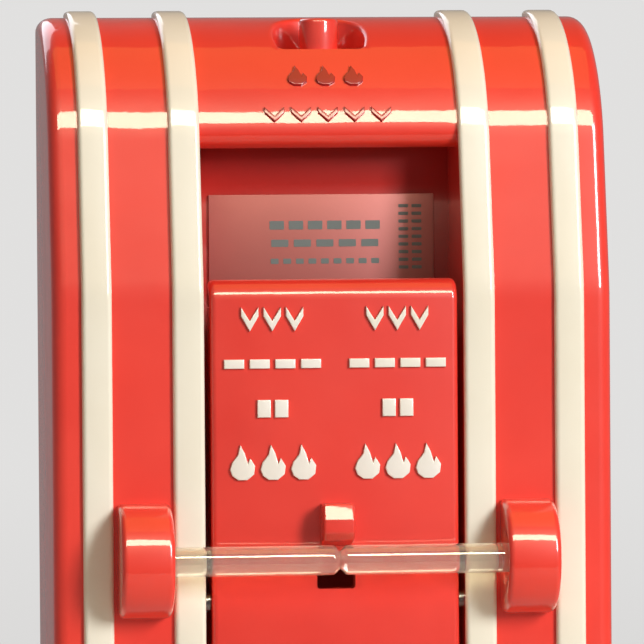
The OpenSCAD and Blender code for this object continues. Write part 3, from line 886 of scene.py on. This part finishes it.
LENGTH = "NodeSocketFloat"
bar_tree, source = tree_with(
    "bar_along_outline",
    [
        ("Path", "NodeSocketGeometry"),
        ("Width", LENGTH),
        ("Thickness", LENGTH),
        ("Edge", LENGTH),
        ("Finish", "NodeSocketMaterial"),
    ],
)
section = add(
    bar_tree,
    "GeometryNodeCurvePrimitiveQuadrilateral",
    {"Width": source["Width"], "Height": source["Thickness"]},
)
rounded = add(
    bar_tree,
    "GeometryNodeFilletCurve",
    {"Curve": section.outputs["Curve"], "Radius": source["Edge"], "Count": 5, "Limit Radius": True},
    mode="POLY",
)
swept = add(
    bar_tree,
    "GeometryNodeCurveToMesh",
    {"Curve": source["Path"], "Profile Curve": rounded.outputs["Curve"], "Fill Caps": True},
)
finish_tree(bar_tree, swept.outputs["Mesh"], source["Finish"])
print("bar tree nodes:", len(bar_tree.nodes))

# %% The four strips
strip_t = strip_h + 0.6
strip_end_y = hinge_y - 3.7


def path_object(x, line):
    """A poly curve in the plane at x, through (y, z) points in millimetres."""
    data = bpy.data.curves.new("path", "CURVE")
    data.dimensions = "3D"
    spline = data.splines.new("POLY")
    spline.points.add(len(line) - 1)
    for point, (y, z) in zip(spline.points, line):
        point.co = (x * MM, y * MM, z * MM, 1)
    return new_object("path", data)


strip_line, _, _ = side_line(strip_t / 2, outer_brow, outer_sill)
strip_line = [p for p in strip_line if p.y > 0 or p[1] > 0 or p[0] < strip_end_y]
outer_strip_low, outer_strip_high = node_box("strip_outer_right")
for side, hand in ((-1, "left"), (1, "right")):
    for kind, low, high in (
        ("inner", inner_low.x, inner_high.x),
        ("outer", outer_strip_low.x, outer_strip_high.x),
    ):
        strip = run_tree(
            f"cream_strip_{kind}_{hand}",
            path_object(side * (low + high) / 2, strip_line),
            bar_tree,
            {
                "Width": (high - low) * MM,
                "Thickness": strip_t * MM,
                "Edge": 0.75 * MM,
                "Finish": cream_enamel,
            },
        )
        settle(strip, "front_cover", "cream_enamel", f"strip_{kind}_{hand}")

# %% [markdown]
# ## Ears that hold the rod
#
# Two short round ears stand on the panels beside the lever. Each has a rolled rim and, on its
# inner face, a trumpet mouth that guides the end of the glass rod in. The ears are cast with the
# cover, so they ride on it and share its enamel.

# %% Ears
ear_r = 8.48
ear_x0 = inner_high.x + 0.6
ear_x1 = outer_strip_low.x - 0.5
ear_turn = radians(104)
ear_loop = [Vector(p) for p in arc_points(front_y, rod_z, ear_r, ear_turn, -ear_turn, 56)]
mouth_r = rod_r + 0.4
flare = 1.7
rim = mouth_r + flare
mouth = [(0, ear_x0 - 1), (rim + 0.5, ear_x0 - 1), (rim + 0.08, ear_x0 - 0.05)]
mouth += [(rim - flare * sin(a), ear_x0 + flare * (1 - cos(a))) for a in quarter(8)[1:]]
mouth += [(mouth_r, ear_x0 + rod_r + 0.6), (0, ear_x0 + rod_r + 0.6)]
for side, hand in ((-1, "left"), (1, "right")):
    ends = sorted((side * ear_x0, side * ear_x1))
    ear = loft(f"rod_ear_{hand}", ear_loop, *ends, 0.9, "X", red_enamel, steps=5)
    bore = turned("bore", [(r, side * x) for r, x in mouth], rod_y, rod_z, "X", red_enamel)
    settle(cut(ear, bore), "front_cover", "red_enamel")

# %% [markdown]
# ## The pull lever
#
# The lever is a plate cast with a rolled grip along its top, so that a finger hooks over it. A
# small saddle sits just above the glass rod, and a slot below it lets the rod be lifted out. On
# the sides two flanges reach back to the pin. The plate is a rounded outline run across the
# width, and its narrow end edges are rolled too.

# %% Lever face, saddle and flanges
lever_top = lever_high.z
lever_foot = lever_low.z
lever_t = 3
grip_back = lever_y + lever_t + 2
face_loop = outline(
    [
        (lever_y, lever_top, 3),
        (lever_y, lever_foot, 3),
        (lever_y + lever_t, lever_foot, 0),
        (lever_y + lever_t, lever_top - 3, 0.8),
        (grip_back, lever_top - 1.6, 0),
        (grip_back, lever_top, 0),
    ],
    steps=8,
)
face = loft("face", face_loop, -lever_half_w, lever_half_w, 0.9, "X", red_lever)
slot_mid = rod_z - 3.05
slot_loop = round_rect(-2.85, 2.85, slot_mid - 1.45, slot_mid + 1.45, 0.5)
cut(face, loft("slot", slot_loop, lever_y - 2, lever_y + 6, 0, "Y", red_lever))
_, pivot_y, pivot_z = node_mid("lever_pin")
saddle_loop = outline(
    [
        (lever_y + 0.6, rod_z + 8.2, 0),
        (lever_y - 3.7, rod_z + 8.2, 0.4),
        (lever_y - 4.6, rod_z + 5.9, 0.5),
        (lever_y - 4.6, rod_z + 4.0, 0.6),
        (lever_y - 3.4, rod_z + 2.8, 0.5),
        (lever_y + 0.6, rod_z + 1.6, 0),
    ],
    steps=5,
)
saddle = loft("saddle", saddle_loop, -2.35, 2.35, 0.45, "X", red_lever)
flange_r = node_box("pull_lever")[1].y - pivot_y
low_end = Vector((lever_y + lever_t + 2, lever_foot + 3))
top_end = Vector((lever_y + lever_t + 3, lever_top - 4))
pin = Vector((pivot_y, pivot_z))


def tangent_turn(end, side):
    """The angle at which a straight edge to an end leaves the round about the pin."""
    out = end - pin
    return atan2(out.y, out.x) + side * acos(flange_r / out.length)


first_turn, last_turn = tangent_turn(low_end, 1), tangent_turn(top_end, -1)
turns = [first_turn + (last_turn - first_turn) * k / 10 for k in range(11)]
round_back = [(pivot_y + flange_r * cos(a), pivot_z + flange_r * sin(a), 0) for a in turns]
flange_loop = outline(
    [(lever_y + 1, top_end.y, 0), (lever_y + 1, low_end.y, 0), (*low_end, 1)]
    + round_back
    + [(*top_end, 1)]
)
pin_hole_r = 1.56
flange_t = 2.4
flanges = []
for side in (-1, 1):
    low, high = sorted((side * (lever_half_w - flange_t), side * (lever_half_w - 0.03)))
    flange = loft("flange", flange_loop, low, high, 0.3, "X", red_lever)
    hole = [(pin_hole_r, low - 1), (pin_hole_r, high + 1)]
    flanges.append(cut(flange, turned("eye", hole, pivot_y, pivot_z, "X", red_lever)))
lever = joined("lever_casting", [face, saddle] + flanges)
settle(lever, "pull_lever", "red_lever", "pull_lever")

# %% [markdown]
# ## Raised symbols, in rows by Geometry Nodes
#
# The words on such a lever are raised in the casting and enamelled cream. Here plain symbols
# stand in their place: arrows that point down, bars, dots and flames, in the same rows. One
# symbol of each kind is made with a rolled edge, and a node tree sets copies of it on a grid,
# with the counts and the pitches as inputs. The same tree sets out the screws further on.

# %% The tree that sets copies on a grid
grid_tree, source = tree_with(
    "copies_on_a_grid",
    [
        ("Copy", "NodeSocketObject"),
        ("Across", "NodeSocketInt"),
        ("Up", "NodeSocketInt"),
        ("Pitch across", LENGTH),
        ("Pitch up", LENGTH),
        ("Centre", "NodeSocketVector"),
        ("Tilt", LENGTH),
        ("Finish", "NodeSocketMaterial"),
    ],
)
spans = []
for count, pitch in (("Across", "Pitch across"), ("Up", "Pitch up")):
    gaps = add(grid_tree, "ShaderNodeMath", {0: source[count], 1: 1.0}, operation="SUBTRACT")
    factors = {0: gaps.outputs[0], 1: source[pitch]}
    spans.append(add(grid_tree, "ShaderNodeMath", factors, operation="MULTIPLY").outputs[0])
grid = add(
    grid_tree,
    "GeometryNodeMeshGrid",
    {
        "Size X": spans[0],
        "Size Y": spans[1],
        "Vertices X": source["Across"],
        "Vertices Y": source["Up"],
    },
)
upright = add(
    grid_tree,
    "GeometryNodeTransform",
    {"Geometry": grid.outputs["Mesh"], "Rotation": (pi / 2, 0, 0)},
)
copy_info = add(grid_tree, "GeometryNodeObjectInfo", {"Object": source["Copy"]})
set_out = add(
    grid_tree,
    "GeometryNodeInstanceOnPoints",
    {"Points": upright.outputs["Geometry"], "Instance": copy_info.outputs["Geometry"]},
)
tilt = add(grid_tree, "ShaderNodeCombineXYZ", {"X": source["Tilt"]})
placed = add(
    grid_tree,
    "GeometryNodeTransform",
    {
        "Geometry": set_out.outputs["Instances"],
        "Translation": source["Centre"],
        "Rotation": tilt.outputs[0],
    },
)
finish_tree(grid_tree, placed.outputs["Geometry"], source["Finish"])


def set_out_copies(name, copy, across, up, pitch, centre, material, tilt=0):
    """Copies of one object on an upright grid. Pitches and the centre are in millimetres."""
    host = new_object("host", bpy.data.meshes.new("host"))
    values = {
        "Copy": copy,
        "Across": across,
        "Up": up,
        "Pitch across": pitch[0] * MM,
        "Pitch up": pitch[1] * MM,
        "Centre": [v * MM for v in centre],
        "Tilt": tilt,
        "Finish": material,
    }
    piece = run_tree(name, host, grid_tree, values)
    bpy.data.objects.remove(copy)
    return piece


print("grid tree nodes:", len(grid_tree.nodes))

# %% Symbol outlines, one unit high
FLAME = [(-0.12, 0), (0.12, 0), (0.3, 0.16), (0.33, 0.4), (0.2, 0.62), (0.14, 0.45), (0.06, 0.75)]
FLAME += [(-0.06, 1), (-0.12, 0.72), (-0.28, 0.5), (-0.34, 0.3), (-0.28, 0.12)]
CHEVRON = [(-0.5, 1), (-0.5, 0.62), (0, 0), (0.5, 0.62), (0.5, 1), (0, 0.42)]
BAR = [(-0.5, 0.3), (0.5, 0.3), (0.5, 0.7), (-0.5, 0.7)]
DOT = [(-0.5, 0), (0.5, 0), (0.5, 1), (-0.5, 1)]


def symbol(shape, wide, high, proud, sunk, edge, material):
    """A raised symbol centred on the origin, facing the front, with a rolled edge."""
    loop = [Vector((u * wide, (v - 0.5) * high)) for u, v in shape]
    loop = outline([(p.x, p.y, 0) for p in loop])
    return loft("symbol", loop, -proud, sunk, edge, "Y", material, steps=3)


symbol_h = -node_box("lever_symbols")[0].y + lever_y
column_x = lever_half_w * 0.505
lever_rows = [
    (CHEVRON, 3, 10.0, 2.6, 3.6, 12.3),
    (BAR, 4, 15.2, 3.0, 3.4, 5.7),
    (DOT, 2, 5.2, 2.0, 2.6, -0.9),
    (FLAME, 3, 13.6, 5.6, 5.2, -8.8),
]
rows = []
for shape, count, span, wide, high, z in lever_rows:
    for side in (-1, 1):
        copy = symbol(shape, wide, high, symbol_h, 0.3, 0.16, cream_raised)
        centre = (side * column_x, lever_y, z)
        rows.append(set_out_copies("row", copy, count, 1, (span / count, 0), centre, cream_raised))
lever_marks = joined("lever_raised_symbols", rows)
settle(lever_marks, "pull_lever", "cream_enamel", "lever_symbols")

# The brow symbols' dark red is painted shade on the cover's own enamel.
brow_rows = [(FLAME, 3, 12.6, 4.4, 3.6, 48.2), (CHEVRON, 5, 20.0, 3.0, 2.4, 42.4)]
rows = []
for shape, count, span, wide, high, z in brow_rows:
    slope = asin((z - top_cz) / (top_r - skin))
    y = top_cy - (top_r - skin) * cos(slope)
    copy = symbol(shape, wide, high, 0.4, 0.3, 0.14, red_emboss)
    pitch = (span / count, 0)
    rows.append(set_out_copies("row", copy, count, 1, pitch, (0, y, z), red_emboss, -slope))
brow_marks = joined("brow_raised_symbols", rows)
settle(brow_marks, "front_cover", "red_emboss", "brow_symbols")

# %% [markdown]
# ## The glass rod
#
# The rod is one solid glass rod, scored round its middle so that it snaps there. It is kept as
# two halves that meet at the score, because that is how it parts when the lever is pulled. Each
# half is a turned profile: the sloping wall of the score, the straight rod, and a fire-polished
# round end.

# %% Glass rod halves
score = 0.9
neck_r = rod_r - score
rod_profile = [(0, 0.02), (neck_r, 0.02), (neck_r + 0.1, 0.1), (rod_r - 0.1, score - 0.12)]
rod_profile += [(rod_r - 0.02, score + 0.05), (rod_r, score + 0.3)]
rod_profile += [(rod_r, score + (ear_x0 - score) * k / 6) for k in range(1, 6)]
rod_profile += [(rod_r * cos(a), ear_x0 + rod_r * sin(a)) for a in quarter(10)]
rod_profile[-1] = (0, ear_x0 + rod_r)
for side, hand in ((-1, "left"), (1, "right")):
    profile = [(r, side * x) for r, x in rod_profile]
    half = turned(f"glass_half_{hand}", profile, rod_y, rod_z, "X", rod_glass)
    settle(half, f"glass_rod_{hand}", "rod_glass", f"glass_rod_{hand}")

# %% [markdown]
# ## Cover screw
#
# A socket head screw in the top pocket holds the cover shut. It is painted over with the cover, so
# its head is red, and the hexagon in the middle is cut two millimetres deep.

# %% Cover screw
head_r = 2.9
head_top = screw_high.z
head_low = pocket_floor + 0.02
shank_r = 2.0
screw_profile = [(0, screw_low.z), (shank_r - 0.4, screw_low.z), (shank_r, screw_low.z + 0.4)]
screw_profile += [(shank_r, head_low), (head_r, head_low), (head_r, head_top - 0.5)]
screw_profile += [
    (head_r - 0.5 * (1 - cos(a)), head_top - 0.5 * (1 - sin(a))) for a in quarter(5)[1:]
]
screw_profile += [(1.2, head_top), (0, head_top)]
screw = turned("socket_screw", screw_profile, 0, screw_y, "Z", red_lever)
key_r = 1.6
hexagon = [
    Vector((key_r * cos(pi / 3 * k), screw_y + key_r * sin(pi / 3 * k))) for k in range(6)
]
cut(screw, loft("socket", hexagon, head_top - 2, head_top + 1, 0, "Z", red_lever))
settle(screw, "cover_screw", "red_lever", "cover_screw")

# %% [markdown]
# ## Bosses and knuckles inside the cover
#
# When the cover swings down, its inside shows: four posts that the inner plate is screwed to, and
# two hinge knuckles on feet. They are cast with the cover.

# %% Posts and knuckles
parts = []
plate_low, plate_high = node_box("inner_plate")
post_x = plate_high.x - 5
POSTS = ((31, -25.0), (-38, -27.8))
for side in (-1, 1):
    for z, front in POSTS:
        profile = [(3.6, front), (3.1, front + 1.8)]
        profile += [(3.0, plate_low.y - 0.3), (2.7, plate_low.y - 0.02)]
        parts.append(turned("post", profile, side * post_x, z, "Y", red_enamel, sides=40))
posts = joined("plate_posts", parts)
settle(posts, "front_cover", "red_enamel")

knuckle_x = (20, 24)
parts = []
for side in (-1, 1):
    low, high = sorted(side * x for x in knuckle_x)
    loop = outline(
        [
            (hinge_y - 5, -half_h + strip_h + 1.5, 0),
            (hinge_y - 1.6, -half_h + strip_h + 1.5, 0),
            (hinge_y - 1.6, hinge_z, 0),
            (hinge_y - 1.6, hinge_z + knuckle_r - 0.6, 0),
            (hinge_y - 5, hinge_z + knuckle_r - 0.6, 1.5),
        ]
    )
    parts.append(loft("foot", loop, low + 0.01, high - 0.01, 0.2, "X", red_enamel))
    eye = [(pin_hole_r, low), (knuckle_r - 0.3, low), (knuckle_r, low + 0.3)]
    eye += [(knuckle_r, high - 0.3), (knuckle_r - 0.3, high), (pin_hole_r, high), (pin_hole_r, low)]
    parts.append(turned("eye", eye, hinge_y, hinge_z, "X", red_enamel))
knuckles = joined("cover_knuckles", parts)
settle(knuckles, "front_cover", "red_enamel")

# %% [markdown]
# ## Screws on the back, by Geometry Nodes
#
# The inner plate, the switch and its terminals are each held by four slotted pan-head screws. One
# screw is turned and slotted for each kind, and the grid tree sets out the four.

# %% Slotted screws
def pan_head(shank_r, head_r, head_t, length, material):
    """A slotted screw along Y with the underside of its head at the origin and its head behind."""
    dome = [(head_r * cos(a), head_t * (0.45 + 0.55 * sin(a))) for a in quarter(6)]
    dome[-1] = (0, head_t)
    profile = [(0, -length), (shank_r - 0.3, -length), (shank_r, -length + 0.4), (shank_r, 0)]
    profile += [(head_r - 0.1, 0), (head_r, 0.12)] + dome
    head = turned("pan", profile, 0, 0, "Y", material, sides=40)
    reach = head_r + 1
    slot = [Vector(p) for p in ((-reach, -0.4), (reach, -0.4), (reach, 0.4), (-reach, 0.4))]
    return cut(head, loft("groove", slot, head_t - 0.7, head_t + 1, 0, "Y", material))


def screw_set(name, node, shank_r, head_r, head_t, material, slot):
    """Four screws in place of a node's own, set out on the node's box."""
    low, high = node_box(node)
    pitch = (high.x - low.x - 2 * head_r, high.z - low.z - 2 * head_r)
    seat = high.y - head_t
    centre = (node_mid(node).x, seat, node_mid(node).z)
    copy = pan_head(shank_r, head_r, head_t, seat - low.y, material)
    piece = set_out_copies(name, copy, 2, 2, pitch, centre, material)
    settle(piece, "front_cover", slot, node)


screw_set("plate_screw_set", "inner_plate_screws", 1.4, 2.6, 1.6, bright_steel, "bright_steel")
screw_set("switch_screw_set", "switch_screws", 1.2, 2.2, 1.4, bright_steel, "bright_steel")
screw_set("terminal_screw_set", "terminal_screws", 1.4, 2.9, 1.8, brass_parts, "brass_parts")

# %% [markdown]
# ## Pressed and moulded pieces with broken edges
#
# The frame's own plates, switch and springs have the right shape but knife edges. A pressing, a
# moulding or a turned part always has a small broken edge, which catches a line of light. So each
# is copied, its loose triangles are merged and its flat faces joined, and a bevel of a few tenths
# of a millimetre is worked into the copy, which then stands for the node.

# %% Soften the frame's nodes
def soften(node, name, body, material, slot, width):
    """A copy of a node with bevelled edges stands in for it."""
    work = bmesh.new()
    work.from_mesh(nodes[node].data)
    work.transform(nodes[node].matrix_world)
    bmesh.ops.remove_doubles(work, verts=work.verts, dist=0.002 * MM)
    bmesh.ops.dissolve_limit(work, angle_limit=radians(0.5), verts=work.verts, edges=work.edges)
    piece = from_work(name, work, material)
    step = piece.modifiers.new("broken_edge", "BEVEL")
    step.width = width * MM
    step.segments = 2
    step.limit_method = "ANGLE"
    step.angle_limit = radians(40)
    settle(bake_modifiers(piece, sharp=24), body, slot, node)


COVER = "front_cover"
soften("back_plate", "wall_plate", "back_plate", zinc_steel, "zinc_steel", 0.2)
# The backing plate's darkened red is painted shade of the pocket.
soften("inner_plate", "lever_backing_plate", COVER, red_plate, "red_plate", 0.15)
# The label sheet's darkened red tone is painted shade and painted red reflection.
soften("label_plate", "label_sheet", COVER, label_foil, "label_foil", 0.1)
soften("switch_body", "switch_case", COVER, switch_black, "switch_black", 0.4)
soften("switch_back_cover", "switch_terminal_block", COVER, switch_grey, "switch_grey", 0.3)
soften("terminal_plates", "terminal_clamp_plates", COVER, brass_parts, "brass_parts", 0.15)
soften("hold_spring", "leaf_spring", COVER, spring_steel, "spring_steel", 0.1)
soften("lever_strike", "striker_foot", "pull_lever", zinc_steel, "zinc_steel", 0.15)
soften("clamp_nut", "brass_clamp_nut", "cover_screw", brass_parts, "brass_parts", 0.3)

# %% Finishes of the frame's nodes that stay as they are
KEPT = {
    "hinge_pin": bright_steel,
    "lever_pin": bright_steel,
    "hinge_clips": spring_steel,
    "lever_pin_clips": spring_steel,
    "screw_retainer": spring_steel,
    "plunger_spring": spring_steel,
    "hold_spring_screw": bright_steel,
    "lever_strike_rivets": bright_steel,
    "ground_screw": ground_green,
    "switch_plunger": plunger_white,
}
for node, material in KEPT.items():
    for place in nodes[node].material_slots:
        place.material = material
print("nodes kept:", len(KEPT))

# %% [markdown]
# ## Print on the label
#
# The label behind the lever is printed in grey-green, in lines too small to read from where one
# stands. Rows of plain dashes stand in for the lines, and a block of short dashes for the panel at
# its right. They are a film of ink a few hundredths of a millimetre thick.

# %% Label print
label_y = node_box("label_plate")[0].y
ink_t = 0.03


def dashes(count, wide, high, pitch, x, z, up=1, up_pitch=0.0):
    """A row, or a block of rows, of printed dashes."""
    loop = round_rect(-wide / 2, wide / 2, -high / 2, high / 2, 0.15)
    copy = loft("dash", loop, -ink_t, 0.01, 0, "Y", label_ink)
    centre = (x, label_y, z)
    return set_out_copies("dashes", copy, count, up, (pitch, up_pitch), centre, label_ink)


prints = [
    dashes(6, 2.2, 1.3, 2.9, 0.5, 26.0),
    dashes(5, 2.6, 1.1, 3.4, 0.5, 23.3),
    dashes(9, 1.2, 0.8, 1.9, 0.5, 20.6),
    dashes(2, 1.5, 0.5, 2.0, 13.4, 24.2, up=9, up_pitch=1.15),
]
settle(joined("label_print", prints), "front_cover", "label_foil")

# %% [markdown]
# ## Floor and light
#
# The object hangs on a wall, so the pale floor lies well below it and leaves room for the cover to
# swing down. The light is that of a bright room: a soft window to the right, which throws the ears'
# shadows to the left, a warm ceiling, and a little light from behind. A long bright card above the
# front only shows as a reflection, and draws the line along the brow. A pale surround, darker below
# and warmer above, fills the rest.

# %% Stage
floor_z = -half_h - 45
floor_half = 240
floor = new_piece(
    "pale_floor",
    [(x * floor_half, y * floor_half, floor_z) for x, y in ((-1, -1), (1, -1), (1, 1), (-1, 1))],
    [(0, 1, 2, 3)],
    floor_paper,
)


def area_light(name, azimuth, elevation, distance, wide, high, power, tone):
    """A soft light in metres, aimed at the object. Azimuth is to the right of the front."""
    data = bpy.data.lights.new(name, "AREA")
    data.shape = "RECTANGLE"
    data.size = wide
    data.size_y = high
    data.energy = power
    data.color = colour(tone)[:3]
    lamp = new_object(name, data)
    a, e = radians(azimuth), radians(elevation)
    place = Vector((sin(a) * cos(e), -cos(a) * cos(e), sin(e))) * distance
    turn = (-place).to_track_quat("-Z", "Y").to_matrix().to_4x4()
    lamp.matrix_world = Matrix.Translation(place) @ turn
    return lamp


area_light("window_right", 36, 20, 1.3, 0.3, 0.5, 17, "fcfcff")
area_light("ceiling_warm", -4, 84, 1.2, 1.2, 0.9, 4.4, "ffb862")
area_light("room_behind", 205, 35, 1.4, 0.9, 0.9, 7, "f4f6ff")
card = area_light("bright_card", -4, 39, 1.2, 1.5, 0.24, 26, "fff2d2")
card.visible_diffuse = False

# %% Surround
world = bpy.data.worlds.new("pale_surround")
world.use_nodes = True
sky = world.node_tree
sky.nodes.clear()
direction = add(sky, "ShaderNodeTexCoord").outputs["Generated"]
height = add(sky, "ShaderNodeSeparateXYZ", {"Vector": direction}).outputs["Z"]
rise = add(sky, "ShaderNodeMapRange", {"Value": height, "From Min": 0.1, "From Max": 0.9})
fall = add(sky, "ShaderNodeMapRange", {"Value": height, "From Min": -0.05, "From Max": -0.5})
room = colour("f2f1f0")
for amount, tone in ((rise, "b4926a"), (fall, "4c4038")):
    shades = {0: amount.outputs["Result"], 6: room, 7: colour(tone)}
    room = add(sky, "ShaderNodeMix", shades, data_type="RGBA").outputs[2]
seen = add(sky, "ShaderNodeLightPath").outputs["Is Camera Ray"]
level = add(sky, "ShaderNodeMapRange", {"Value": seen, "To Min": 0.3, "To Max": 0.85})
background = add(
    sky, "ShaderNodeBackground", {"Color": room, "Strength": level.outputs["Result"]}
)
add(sky, "ShaderNodeOutputWorld", {"Surface": background.outputs["Background"]})
bpy.context.scene.world = world
bpy.context.scene.view_settings.view_transform = "Standard"
print("surround nodes:", len(sky.nodes))
